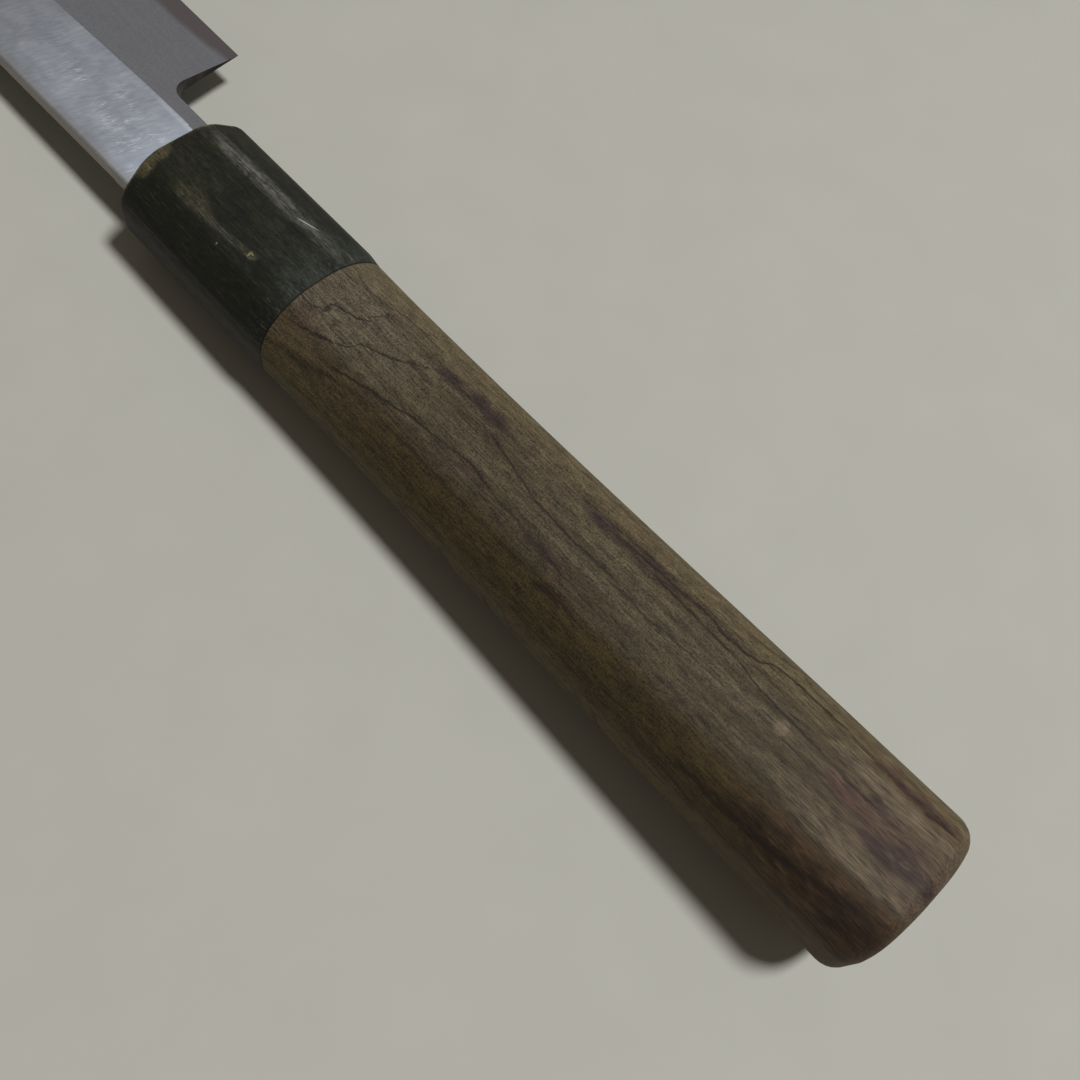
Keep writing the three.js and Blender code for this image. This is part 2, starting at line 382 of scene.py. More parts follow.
def add_outline(x, width, thickness, reach):
    centre = at(x, 0, thickness / 2)
    stretch = CHAMFER_WIDTH / CHAMFER_HEIGHT
    bpy.ops.mesh.primitive_plane_add(size=MM, location=centre, rotation=(0, math.pi / 2, 0))
    bpy.ops.transform.resize(value=(1, width, thickness * stretch), center_override=centre)
    bpy.ops.mesh.bevel(affect="VERTICES", offset=CHAMFER_WIDTH * MM, segments=1)
    pick("VERT", lies_at(x))
    bpy.ops.transform.resize(value=(1, 1, 1 / stretch), center_override=centre)
    bpy.ops.mesh.bevel(affect="VERTICES", offset=reach * MM, segments=RIDGE_STEPS)
    pick("FACE", lies_at(x))
    bpy.ops.mesh.delete(type="ONLY_FACE")


def handle_length(name, outlines):
    """A closed length of handle through a row of outlines, left in edit mode."""
    piece = start(name)
    for outline in outlines:
        add_outline(*outline)
    places = [outline[0] for outline in outlines]
    for pair in zip(places, places[1:]):
        pick("EDGE", lambda edge: any(lies_at(x)(edge) for x in pair))
        bpy.ops.mesh.bridge_edge_loops()
    for x in (places[0], places[-1]):
        pick("EDGE", lies_at(x))
        bpy.ops.mesh.edge_face_add()
    return piece


def round_end(x, reach, steps):
    pick("EDGE", lies_at(x))
    bpy.ops.mesh.bevel(affect="EDGES", offset=reach * MM, segments=steps)


def rod(start_x, end_x, diameter, height):
    """A round bar along the handle, to bore with."""
    bpy.ops.object.select_all(action="DESELECT")
    middle = at((start_x + end_x) / 2, 0, height)
    length = abs(end_x - start_x) * MM
    quarter = math.pi / 2
    bpy.ops.mesh.primitive_cylinder_add(
        vertices=BORE_SIDES, radius=diameter / 2 * MM, depth=length, location=middle,
        rotation=(0, quarter, 0))
    return bpy.context.object


print("an outline has", 8 * (RIDGE_STEPS + 1), "corners")

# %% [markdown]
# The grip is one planed length of hardwood. It flares a little at the collar, is slimmest in its front half
# and swells towards the butt, so that the hand doesn't slip off. Its butt is sanded into a soft round, and
# a hair's breadth of bevel at the collar draws the fine dark joint line. Inside it is bored for the core.

# %% Wood grip
JOINT_X = -35
BUTT_X = -152
AXIS_HEIGHT = 9.35
BORE = 15
BORE_END = -114.6
GRIP_WIDTH = 23.3
GRIP_FLARE = 0.35
GRIP_THICKNESS = 19.2
BUTT_WIDTH = 24.8
BUTT_THICKNESS = 23.3
BUTT_ROUND = 3.2
BUTT_STEPS = 7
JOINT_BEVEL = 0.1
RIDGE_REACH = 3.4
REACH_GROWTH = 0.6
EVEN_RISE = 0.2
SWELL_START = 0.2
SWELL_LENGTH = 0.65
FLARE_LENGTH = 0.09
GRIP_STEPS = 12
HANDLE_ANGLE = 40


def grip_thickness(share):
    """The grip's thickness at a share of its length, counted from the collar."""
    rise = share * EVEN_RISE + share * share * (1 - EVEN_RISE)
    return GRIP_THICKNESS + (BUTT_THICKNESS - GRIP_THICKNESS) * rise


def soft_step(value):
    held = min(max(value, 0), 1)
    return held * held * (3 - 2 * held)


def grip_outline(share):
    swell = (BUTT_WIDTH - GRIP_WIDTH) * soft_step((share - SWELL_START) / SWELL_LENGTH)
    width = GRIP_WIDTH + swell + GRIP_FLARE * (1 - soft_step(share / FLARE_LENGTH))
    reach = RIDGE_REACH + REACH_GROWTH * share
    return JOINT_X + (BUTT_X - JOINT_X) * share, width, grip_thickness(share), reach


grip = handle_length("wood_grip", [grip_outline(1 - i / GRIP_STEPS) for i in range(GRIP_STEPS + 1)])
round_end(BUTT_X, BUTT_ROUND, BUTT_STEPS)
round_end(JOINT_X, JOINT_BEVEL, 1)
close(grip)
cut(grip, rod(BORE_END, JOINT_X + MARGIN, BORE, AXIS_HEIGHT))
polish(grip, HANDLE_ANGLE)
mount(grip, "handle_body")

# %% [markdown]
# The collar is a length of dark horn that keeps the wood from splitting. Wood shrinks with age and horn
# hardly does, so the collar stands a little proud of the grip and is eased down to it at the joint. It is
# made as the grip is, with a small rounded front rim. Behind the front wall it takes the same core, and
# the wall has a slot for the tang.

# %% Horn collar
MOUTH_WALL = 6
SLOT_HEIGHT = 11.2
SLOT_THICKNESS = 4.6
SLOT_LENGTH = 10
RIM_STEPS = 3
JOINT_EASE = 2.5
COLLAR_WIDTH = 24.2
COLLAR_THICKNESS = 19.45
FRONT_WIDTH = 24
FRONT_RIDGE_REACH = 2.4
eased = (JOINT_X + JOINT_EASE, COLLAR_WIDTH, COLLAR_THICKNESS, RIDGE_REACH)
front = (0, FRONT_WIDTH, 2 * AXIS_HEIGHT, FRONT_RIDGE_REACH)
collar = handle_length("horn_collar", [grip_outline(0), eased, front])
round_end(0, FRONT_RIM, RIM_STEPS)
round_end(JOINT_X, JOINT_BEVEL, 1)
close(collar)
cut(collar, rod(JOINT_X - MARGIN, -MOUTH_WALL, BORE, AXIS_HEIGHT))
bpy.ops.object.select_all(action="DESELECT")
bpy.ops.mesh.primitive_cube_add(size=MM, location=at(-MOUTH_WALL / 2, 0, AXIS_HEIGHT))
slot_tool = bpy.context.object
slot_tool.scale = (SLOT_LENGTH, SLOT_HEIGHT, SLOT_THICKNESS)
cut(collar, slot_tool)
polish(collar, HANDLE_ANGLE)
mount(collar, "ferrule")

# %% [markdown]
# The blade is drawn by three lines on its face: the straight spine that dips at the tip, the edge that
# sweeps up to it, and the ridge between the flat and the bevel. One function gives all three at any
# distance from the shoulder. It takes plain numbers while the mesh is made, and sockets later in the
# finishes, so that what is painted along an edge follows the edge that was modelled.

# %% Lines of the blade
NECK_LENGTH = 18.8
NECK_DIP = 0.8
NECK_DIP_LENGTH = 41
SPINE_SIDE = 9
EDGE_SIDE = -23.8
RIDGE_SIDE = -5.9
RIDGE_RISE = 7
TIP_SIDE = 4
HALF_TIP = 0.5
TIP_BEND = 6
EDGE_BEND = 4.2
NECK_THICKNESS = 3
TIP_THICKNESS = 1.6
SPINE_ROUNDING = 0.9
RIDGE_BEVEL = 0.18
RIDGE_BEVEL_STEPS = 2
BACK_BEVEL = 0.25
BACK_BEVEL_STEPS = 3
SPINE_STEPS = 6
STEEL_THICKNESS = 0.8
STEEL_FACE = BLADE_BACK + STEEL_THICKNESS
STEEL_START = 8


def blade_lines(x):
    """How far the spine, the edge and the ridge lie from the handle's axis."""
    run = (x - NECK_LENGTH) / (BLADE_LENGTH - NECK_LENGTH)
    fall = 1 - x / NECK_DIP_LENGTH
    if isinstance(x, Wire):
        run, fall = run.above(0.0), fall.above(0.0)
    else:
        run, fall = max(run, 0.0), max(fall, 0.0)
    spine = SPINE_SIDE + (TIP_SIDE + HALF_TIP - SPINE_SIDE) * run ** TIP_BEND - NECK_DIP * fall
    edge = EDGE_SIDE + (TIP_SIDE - HALF_TIP - EDGE_SIDE) * run ** EDGE_BEND
    tip_rise = TIP_SIDE - RIDGE_SIDE - RIDGE_RISE
    ridge = RIDGE_SIDE + RIDGE_RISE * run + tip_rise * run ** TIP_BEND - NECK_DIP * fall
    return spine, edge, ridge


def face_height(x):
    return BLADE_BACK + NECK_THICKNESS + (TIP_THICKNESS - NECK_THICKNESS) * x / BLADE_LENGTH


def steel_line(x):
    """Where the hard steel meets the soft iron on the bevel."""
    _, edge, ridge = blade_lines(x)
    return edge + (ridge - edge) * STEEL_THICKNESS / (face_height(x) - BLADE_BACK)


BLADE_STEPS = 48
CROWDING = 1.6
shares = [1 - (1 - i / BLADE_STEPS) ** CROWDING for i in range(BLADE_STEPS + 1)]
stations = [STEEL_START + (BLADE_LENGTH - STEEL_START) * share for share in shares]
print("heel is", round(SPINE_SIDE - EDGE_SIDE, 1), "mm high")

# %% [markdown]
# Both layers of the blade are made by extruding one section from station to station, closer together where
# the tip curves, and by moving each corner of the new end onto its line. A curve with a bevel would
# be quicker, but it can't let four corners follow four different lines.

# %% Sections along the blade
def move_corners(places):
    """Moves the corners of the one selected face to places in the plane that it stands in."""
    drawn = bmesh.from_edit_mesh(bpy.context.object.data)
    face = next(face for face in drawn.faces if face.select)
    ring = [vertex.index for vertex in face.verts]
    bpy.ops.mesh.select_mode(type="VERT")
    for index, (y, z) in zip(ring, places):
        bpy.ops.mesh.select_all(action="DESELECT")
        drawn = bmesh.from_edit_mesh(bpy.context.object.data)
        drawn.verts.ensure_lookup_table()
        vertex = drawn.verts[index]
        vertex.select_set(True)
        target = at(0, y, z)
        bpy.ops.transform.translate(value=(0, target.y - vertex.co.y, target.z - vertex.co.z))
    pick("FACE", lambda face: sorted(vertex.index for vertex in face.verts) == sorted(ring))


def extrude_to(step, places):
    bpy.ops.mesh.select_mode(type="FACE")
    bpy.ops.mesh.extrude_region_move(TRANSFORM_OT_translate={"value": (step * MM, 0, 0)})
    bmesh.from_edit_mesh(bpy.context.object.data).verts.index_update()
    move_corners(places)


def sweep(name, run, section):
    """Extrudes a section through a run of stations along the blade, and stays in edit mode."""
    piece = start(name)
    first = section(run[0])
    place = at(run[0], 0, STEEL_FACE)
    quarter = math.pi / 2
    bpy.ops.mesh.primitive_circle_add(
        vertices=len(first), radius=MM, fill_type="NGON", location=place, rotation=(0, quarter, 0))
    bpy.ops.mesh.select_mode(type="FACE")
    move_corners(first)
    for before, x in zip(run, run[1:]):
        extrude_to(x - before, section(x))
    return piece


def along_line(line, height):
    """Edges of the mesh that lie along a line of the blade, at a height."""
    def test(edge):
        return all(abs(p.y - line(p.x)) < NEAR and abs(p.z - height(p.x)) < NEAR for p in corners(edge))
    return test


print("section helpers ready")

# %% [markdown]
# The soft iron is the upper layer: the flat, the ridge and most of the bevel. It starts as a section at the
# shoulder, with the corner at the spine rounded as a good polisher leaves it, which is kinder to a finger.
# Where no steel lies under the neck, the underside is extruded down to the blade's back.

# %% Iron blade
def iron_section(x):
    spine, _, ridge = blade_lines(x)
    top = face_height(x)
    reach = min(SPINE_ROUNDING, (spine - ridge) / 2, (top - STEEL_FACE) / 2)
    turns = [i / SPINE_STEPS for i in range(SPINE_STEPS + 1)]
    curve = [(spine - reach * turn ** 2, top - reach * (1 - turn) ** 2) for turn in turns]
    return [(steel_line(x), STEEL_FACE), (spine, STEEL_FACE), *curve, (ridge, top)]


iron = sweep("iron_blade", [0, *stations], iron_section)


def under_neck(face):
    return all(p.x < STEEL_START + NEAR and abs(p.z - STEEL_FACE) < NEAR for p in corners(face))


pick("FACE", under_neck)
bpy.ops.mesh.extrude_region_move(TRANSFORM_OT_translate={"value": (0, 0, -STEEL_THICKNESS * MM)})
for x in (0, STEEL_START):
    low_corner = (x, steel_line(x), BLADE_BACK)
    pick("VERT", lambda vertex: (corners(vertex)[0] - Vector(low_corner)).length < NEAR)
    bpy.ops.transform.translate(value=(0, (EDGE_SIDE - low_corner[1]) * MM, 0))
pick("EDGE", along_line(lambda x: blade_lines(x)[2], face_height))
bpy.ops.mesh.bevel(affect="EDGES", offset=RIDGE_BEVEL * MM, segments=RIDGE_BEVEL_STEPS)
close(iron)
print("iron layer has", len(iron.data.vertices), "corners")

# %% [markdown]
# A notch behind the heel lets the edge be sharpened up to its very end. It is cut with a block that leans
# a little and has one round corner, because a sharp inner corner would start a crack.

# %% Notch behind the heel
NECK_UNDERSIDE = -9.1
HEEL_LEAN = 1.4
NOTCH_RADIUS = 3
NOTCH_STEPS = 10


def notch_tool():
    piece = start("notch")
    low, high = EDGE_SIDE - MARGIN, NECK_UNDERSIDE
    middle = at((NECK_LENGTH - MARGIN) / 2, (low + high) / 2, AXIS_HEIGHT)
    bpy.ops.mesh.primitive_cube_add(size=MM, location=middle)
    size = (NECK_LENGTH + MARGIN, high - low, NECK_THICKNESS + 2 * MARGIN)
    bpy.ops.transform.resize(value=size, center_override=middle)

    def inner(vertex):
        place = corners(vertex)[0]
        return place.x > NECK_LENGTH - NEAR and place.y > high - NEAR

    pick("VERT", inner)
    full_lean = HEEL_LEAN * (high - low) / (high - EDGE_SIDE)
    bpy.ops.transform.translate(value=(-full_lean * MM, 0, 0))
    pick("EDGE", lambda edge: all(p.x > NECK_LENGTH / 2 and p.y > high - NEAR for p in corners(edge)))
    bpy.ops.mesh.bevel(affect="EDGES", offset=NOTCH_RADIUS * MM, segments=NOTCH_STEPS)
    return close(piece)


cut(iron, notch_tool())
print("notch cut in the iron")

# %% [markdown]
# The tang is forged from the same iron as the blade and tapers towards its end, so that it can be driven
# in. A bar with a smaller far end is joined on, which keeps the blade and its tang one piece.

# %% Tang
TANG_LENGTH = 105
TANG_IN_NECK = 2
TANG_WIDTH = 9
TANG_THICKNESS = 2.6
TANG_END_WIDTH = 5.5
TANG_END_THICKNESS = 1.8
IRON_ANGLE = 20


def tang_bar():
    piece = start("tang")
    length = TANG_LENGTH + TANG_IN_NECK
    middle = at((TANG_IN_NECK - TANG_LENGTH) / 2, 0, AXIS_HEIGHT)
    bpy.ops.mesh.primitive_cube_add(size=MM, location=middle)
    bpy.ops.transform.resize(value=(length, TANG_WIDTH, TANG_THICKNESS), center_override=middle)
    pick("FACE", lies_at(-TANG_LENGTH))
    taper = (1, TANG_END_WIDTH / TANG_WIDTH, TANG_END_THICKNESS / TANG_THICKNESS)
    bpy.ops.transform.resize(value=taper, center_override=at(-TANG_LENGTH, 0, AXIS_HEIGHT))
    return close(piece)


cut(iron, tang_bar(), "UNION")
polish(iron, IRON_ANGLE)
mount(iron, "blade_body")

# %% [markdown]
# The hard steel is a thin layer on the blade's back that comes out at the edge. The back is ground hollow,
# so that only a narrow rim along the spine and the edge touches a stone. The section has extra corners
# for the hollow, which is shallow and runs out towards the neck and the tip.

# %% Steel edge
HOLLOW_DEPTH = 0.3
HOLLOW_RIM = 2
HOLLOW_RUN_IN = 15
HOLLOW_STEPS = 8
STEEL_ANGLE = 5


def steel_section(x):
    spine, edge, _ = blade_lines(x)
    share = (spine - edge) / (SPINE_SIDE - EDGE_SIDE)
    depth = HOLLOW_DEPTH * share * soft_step((x - NECK_LENGTH) / HOLLOW_RUN_IN)
    low, high = edge + HOLLOW_RIM * share, spine - HOLLOW_RIM * share
    hollow = []
    for i in range(HOLLOW_STEPS + 1):
        across = i / HOLLOW_STEPS
        hollow.append((low + (high - low) * across, BLADE_BACK + depth * 4 * across * (1 - across)))
    upper = [(spine, STEEL_FACE), (steel_line(x), STEEL_FACE)]
    return [(edge, BLADE_BACK), *hollow, (spine, BLADE_BACK), *upper]


steel = sweep("steel_edge", stations, steel_section)
pick("EDGE", along_line(lambda x: blade_lines(x)[0], lambda x: BLADE_BACK))
bpy.ops.mesh.bevel(affect="EDGES", offset=BACK_BEVEL * MM, segments=BACK_BEVEL_STEPS)
close(steel)
cut(steel, notch_tool())
polish(steel, STEEL_ANGLE)
mount(steel, "edge_steel")

# %% [markdown]
# A finish is laid on faces by where they look: up for the flat, towards the edge for the bevel.
# Spots and lines that only one board or one horn has are drawn as soft ellipses and as thin veins in
# millimetres. A vein is a curve through a few places, and noise makes its course waver. Each helper
# returns a mask between 0 and 1.

# %% Helpers for finishes
def paint(piece, finishes, choose=lambda polygon: 0):
    piece.data.materials.clear()
    for material in finishes:
        piece.data.materials.append(material)
    for polygon in piece.data.polygons:
        polygon.material_index = choose(polygon)


def strongest(masks):
    whole = masks[0]
    for mask in masks[1:]:
        whole = whole.above(mask)
    return whole


def spots(bench, x, y, places):
    """The strongest of several soft ellipses, each (x, y, half length, half width, strength)."""
    found = []
    for centre_x, centre_y, half_length, half_width, strength in places:
        across = (x - centre_x) / half_length
        down = (y - centre_y) / half_width
        found.append(bench.smooth(across * across + down * down, 1.0, 0.1) * strength)
    return strongest(found)


def thin_line(bench, distance, half_width):
    return bench.smooth(abs(distance), half_width, half_width * 0.25)


def vein(bench, x, y, places, half_width, strength=1.0):
    """A line through places (x, y), listed from the butt towards the tip, that fades at both ends."""
    first, last = places[0][0], places[-1][0]
    low = min(place[1] for place in places) - 1
    high = max(place[1] for place in places) + 1
    share = (x - first) / (last - first)
    course = bench.node("ShaderNodeFloatCurve", {}, {"Value": share})
    mapping = course.socket.node.mapping
    line = mapping.curves[0].points
    shares = [((px - first) / (last - first), (py - low) / (high - low)) for px, py in places]
    line[0].location, line[1].location = shares[0], shares[-1]
    for px, py in shares[1:-1]:
        line.new(px, py)
    mapping.update()
    side = y - (low + course * (high - low))
    ends = bench.smooth(share, 0.0, 0.08) * bench.smooth(share, 1.0, 0.92)
    return thin_line(bench, side, half_width) * ends * strength


def shade(bench, paint_colour, factor):
    """Makes a colour lighter or darker by a factor."""
    return bench.node("ShaderNodeVectorMath", {"operation": "SCALE"}, {0: paint_colour, "Scale": factor})


print("helpers for finishes ready")

# %% [markdown]
# The grip is a dense grey-brown hardwood with a matt oiled surface. Its growth layers show as thin dark
# lines. Near the collar they meet in two ragged arches that open towards it, with purple stains at their
# points, and further back they run straight, as they do on both sides. The half towards the spine is
# painted darker as shade, less so by the collar, and its low side facet is painted lighter with light from
# the floor. The underside has arches of its own, from a field that is bent by noise: a line is where the
# field has one value.

# %% Wood finish
SIDE_LINE_HEIGHTS = (2.5, 4.2, 7, 8.8, 12, 14.5, 16)
wood, bench = finish("handle_wood")
place = bench.millimetres()
x, y, z = bench.split(place)
top = grip_thickness((x - JOINT_X) / (BUTT_X - JOINT_X))
upper = bench.smooth(z / top, 0.4, 0.6)
slow = bench.noise(place, (24, 7, 7), detail=1) - 0.5
quick = bench.noise(place, (3.2, 1.5, 1.5), detail=2, seed=3.1) - 0.5
ragged = bench.noise(place, (1.1, 0.8, 0.8), detail=2, seed=8.3) - 0.5
wavering = y + quick * 0.5 + ragged * 1.1
straight = y + quick * 0.6 + ragged * 0.6

arches = [
    vein(bench, x, wavering, [
        (-45.5, -1.4), (-44.1, -0.5), (-42.3, 0.3), (-40.4, 0.9), (-38.8, 1.5)], 0.26),
    vein(bench, x, wavering, [(-40.3, 2.6), (-38.7, 3.1), (-37.2, 3.5), (-34.4, 3.7)], 0.26, 0.9),
    vein(bench, x, wavering, [(-46.3, -3.9), (-45.1, -2.5), (-44.3, -1.3)], 0.24, 0.9),
    vein(bench, x, wavering, [
        (-57.6, -2.8), (-55.4, -1.7), (-52.5, 0.3), (-50.3, 1.3), (-47.5, 2.5), (-46.2, 4.2), (-44, 5.2),
        (-41.5, 5.9), (-39.5, 6.5), (-36, 6.9)], 0.26),
    vein(bench, x, straight, [
        (-53, -6.2), (-49.2, -6.3), (-46.4, -5.9), (-42.4, -4.8), (-40.5, -4.8), (-38.4, -5.1),
        (-36.4, -6)], 0.3, 0.6),
    vein(bench, x, straight, [
        (-98.5, 0.3), (-92.1, 0.8), (-83.7, 0.7), (-81.3, 0.4), (-76.6, -0.5), (-73, -1.3),
        (-69.5, -2.2)], 0.25, 0.95),
    vein(bench, x, straight, [
        (-78, 4.1), (-74.7, 3.7), (-71.7, 3.4), (-66.3, 4), (-61.7, 4.4), (-55.8, 5.6), (-51.5, 6.4),
        (-45, 8.1)], 0.27),
    vein(bench, x, straight, [(-93, 5.2), (-85, 4.6), (-79, 4.2), (-74, 3.9)], 0.3, 0.6),
]
streaks = [
    vein(bench, x, straight, [
        (-133, -7.4), (-127, -7.6), (-120, -7.1), (-117.4, -5.6), (-113, -4.9), (-109.2, -5.3),
        (-101.5, -4.9), (-92, -4.5)], 0.36, 0.9),
    vein(bench, x, straight, [
        (-141.5, -1.7), (-134.4, -1.9), (-127.2, -2.4), (-121.4, -2.5), (-114.8, -3.5), (-107.2, -3.7),
        (-99, -4)], 0.27, 0.9),
    vein(bench, x, straight, [(-150, -6.9), (-143.9, -6.8), (-137.3, -7.1), (-131, -7.4)], 0.55, 0.6),
    vein(bench, x, straight, [(-134, -10.7), (-123.8, -10.5), (-118.8, -8.9), (-111, -8)], 0.3, 0.5),
    vein(bench, x, straight, [(-118, 0.6), (-110.5, 0.8), (-101.9, 1.3), (-97, 0.9)], 0.25, 0.75),
    vein(bench, x, straight, [(-137, 0.9), (-132.7, 0.6), (-126, 0.2)], 0.3, 0.5),
    vein(bench, x, straight, [
        (-148, 8.5), (-144.6, 8.9), (-137.3, 10.1), (-128, 10.6), (-118, 10.7)], 0.6, 0.9),
    vein(bench, x, straight, [(-151, 11.2), (-147.4, 10.9), (-142, 11.1)], 0.3, 0.7),
    vein(bench, x, straight, [(-56, 7.2), (-48.7, 8.1), (-43.2, 9.3), (-36.5, 10.1)], 0.5, 0.5),
    vein(bench, x, straight, [(-101, 8), (-84, 7.7), (-66, 7.5), (-56, 7.6)], 0.35, 0.6),
    vein(bench, x, straight, [(-120, 6), (-100, 5.4), (-84, 5)], 0.26, 0.4),
    vein(bench, x, straight, [(-100, -9), (-70, -8.5), (-55, -8)], 0.24, 0.35),
]
grain = y + (z - top) * 0.35 + slow * 1.6 + quick * 0.7
arch = x + grain - 3 * (grain * grain + 0.2) ** 0.5 + quick * 4
below = [thin_line(bench, arch + place_x, 0.8) for place_x in (66, 92, 101, 124)]
hairlines = thin_line(bench, bench.noise(place, (34, 0.9, 0.9), detail=2, seed=6.4) - 0.5, 0.016)
broken = bench.noise(place, (5, 1, 1), detail=2, seed=7.7)
lines = strongest(arches + streaks) * upper
lines = lines.above(strongest(below) * (1 - upper)) * bench.smooth(broken, 0.24, 0.44)
lines = lines.above(hairlines * bench.smooth(broken, 0.42, 0.62) * 0.4)
side_lines = [thin_line(bench, z + slow * 5 + quick * 1.2 - height, 0.3) for height in SIDE_LINE_HEIGHTS]
on_side = bench.smooth(abs(y), 9.8, 11.2) * bench.smooth(broken, 0.36, 0.56)
lines = lines.above(strongest(side_lines) * on_side * 0.6)
knots = spots(bench, x + ragged, y + ragged, [
    (-39.5, 2.2, 0.7, 1.0, 0.9), (-45.7, -4, 0.6, 0.5, 0.8), (-54.4, -1, 0.9, 0.6, 0.7)]) * upper
lines = lines.above(knots)

bands = bench.smooth(bench.noise(place, (55, 1.5, 1.5), detail=3, seed=1.3), 0.32, 0.68)
fibres = bench.noise(place, (3, 0.2, 0.2), detail=3, seed=5.2)
pores = bench.smooth(bench.noise(place, (1.2, 0.22, 0.22), detail=1, seed=9.4), 0.6, 0.74)
grit = (bench.noise(place, (0.3, 0.2, 0.2), detail=1, seed=2.2) - 0.5) * bench.smooth(x, -148, -105)
figure = bench.noise(place, (2.2, 1.1, 1.1), detail=3, seed=6.9) - 0.5
blotch = bench.noise(place, (3, 1.4, 1.4), detail=4, seed=4.9)
stained = bench.smooth(blotch, 0.28, 0.52)

purple = spots(bench, x, y + quick * 2, [
    (-67, -4.3, 6.5, 2.0, 1.0), (-60.5, -3.8, 4, 1.4, 0.9), (-71, -1.6, 2, 1.0, 0.8),
    (-54.5, -1, 1.6, 0.8, 0.7), (-88, 4.8, 4.5, 1.0, 0.9), (-70, 4.4, 7, 1.0, 0.6),
    (-91, -4.4, 6, 1.4, 1.0), (-99, -4.8, 8, 1.7, 1.0), (-111, -5.4, 7, 0.9, 0.8),
    (-141, -2.3, 3, 1.1, 0.9), (-144.5, 1.6, 5, 1.9, 1.0), (-149, 1.2, 4, 2.2, 1.0),
    (-145.5, -7.2, 4, 1.0, 1.0),
]) * upper
reddish = spots(bench, x, y + quick * 2, [
    (-137, -0.3, 6, 1.8, 1.0), (-143, 0, 7, 3, 0.6), (-143, -7.5, 9, 1.8, 0.9), (-38, 5.4, 3, 2, 0.5),
]) * upper
dark = spots(bench, x, y + quick * 2, [
    (-136, 9.6, 13, 2.2, 1.0), (-146, 9.2, 10, 2.8, 1.0), (-90, 7.7, 9, 1.0, 0.7),
    (-45, 9.2, 6, 1.0, 0.5), (-112, 8.6, 9, 1.2, 0.5),
]) * upper
pale = spots(bench, x, y + quick, [
    (-125.5, -0.9, 1.2, 1.4, 0.5), (-141, -4.6, 12, 1.6, 0.5), (-141, 5, 12, 1.6, 0.45)]) * upper

wood_colour = bench.mix(bands, colour("3f3627"), colour("534a3a"))
by_joint = bench.smooth(x, -66, -42)
wood_colour = bench.mix(by_joint * bench.smooth(y, 7, 3) * 0.4, wood_colour, colour("635c50"))
wood_colour = bench.mix(bench.smooth(x, -126, -150) * 0.4, wood_colour, colour("5f4d42"))
wood_colour = bench.mix(bench.smooth(y, -4, -9) * 0.6, wood_colour, colour("675c43"))
# Painted shade: the half towards the spine is darkened in two steps, and a little less by the collar.
wood_colour = bench.mix(bench.smooth(y, 4.2, 6.4) * 0.7, wood_colour, colour("3d3427"))
wood_colour = bench.mix(bench.smooth(y, 6, 8) * 0.8, wood_colour, colour("3a2f18"))
wood_colour = bench.mix(by_joint * bench.smooth(y, 6, 8.5) * 0.5, wood_colour, colour("524838"))
# Painted light: the low facet on the spine's side is lighter, as if lit from the floor.
floor_lit_facet = bench.smooth(z, 15.5, 12.5) * bench.smooth(y, 9, 11)
wood_colour = bench.mix(floor_lit_facet * 0.7, wood_colour, colour("54472a"))
spine_butt = bench.smooth(x, -120, -142) * bench.smooth(y, 5.5, 8)
wood_colour = bench.mix(spine_butt * 0.5, wood_colour, colour("4d392c"))
wood_colour = bench.mix(pale * 0.6, wood_colour, colour("807464"))
wood_colour = bench.mix(reddish * stained * 0.65, wood_colour, colour("4a3330"))
wood_colour = bench.mix(purple * stained * 0.75, wood_colour, colour("2d2123"))
wood_colour = bench.mix(dark * stained * 0.7, wood_colour, colour("1e130d"))
texture = 1.0 + grit * 2.6 + (fibres - 0.5) * 2.6 + figure * 1.2
wood_colour = shade(bench, wood_colour, texture.above(0.3))
wood_colour = bench.mix(pores * 0.35, wood_colour, colour("241b14"))
wood_colour = bench.mix(lines * 0.8, wood_colour, colour("190f0c"))
wood_colour = bench.mix(bench.smooth(x, JOINT_X - 0.2, JOINT_X - 0.06) * 0.6, wood_colour, colour("120d0a"))

relief = fibres * 0.5 - pores * 0.4 - lines * 0.6 + grit * 0.4
surface(
    bench, Base_Color=wood_colour, Roughness=0.56 + fibres * 0.2, Specular_IOR_Level=0.22,
    Normal=bench.bump(relief, 0.03 * MM, 0.8))
paint(grip, [wood])
print("wood finish has", len(wood.node_tree.nodes), "nodes")

# %% [markdown]
# The collar is dark horn, nearly black with an olive cast. Horn is made of fibres along its length. A few
# of them are golden, mostly at the front rim, which also has a painted highlight along its edge. The ground
# end by the joint is bluish, partly as a painted sheen, with short pale dashes. The ridge on the edge's
# side has a broad painted highlight. The spine's side is painted darker as shade, its low facet lighter
# with light from the floor, and that facet's worn upper edge has a thin painted highlight. An old gouge on
# that side is drawn dark with painted shade, and one fresh scratch is white.

# %% Horn finish
horn, bench = finish("dark_horn")
place = bench.millimetres()
x, y, z = bench.split(place)
waver = bench.noise(place, (5, 2, 2), detail=2, seed=1.7) - 0.5
fibres = bench.noise(place, (5, 0.3, 0.3), detail=3)
mottle = bench.noise(place, (1.8, 0.9, 0.9), detail=4, seed=6.2) - 0.5
clouds = bench.noise(place, (9, 3.5, 3.5), detail=3, seed=4.4)
hairs = bench.smooth(bench.noise(place, (2.4, 0.16, 0.16), detail=2, seed=8.1), 0.56, 0.74)
flecks = bench.smooth(bench.noise(place, (1.3, 0.24, 0.24), detail=2, seed=3.6), 0.44, 0.62)
speckle = bench.noise(place, (0.6, 0.25, 0.25), detail=1, seed=7.2) - 0.5
on_top = bench.smooth(z, 15.5, 17.5)

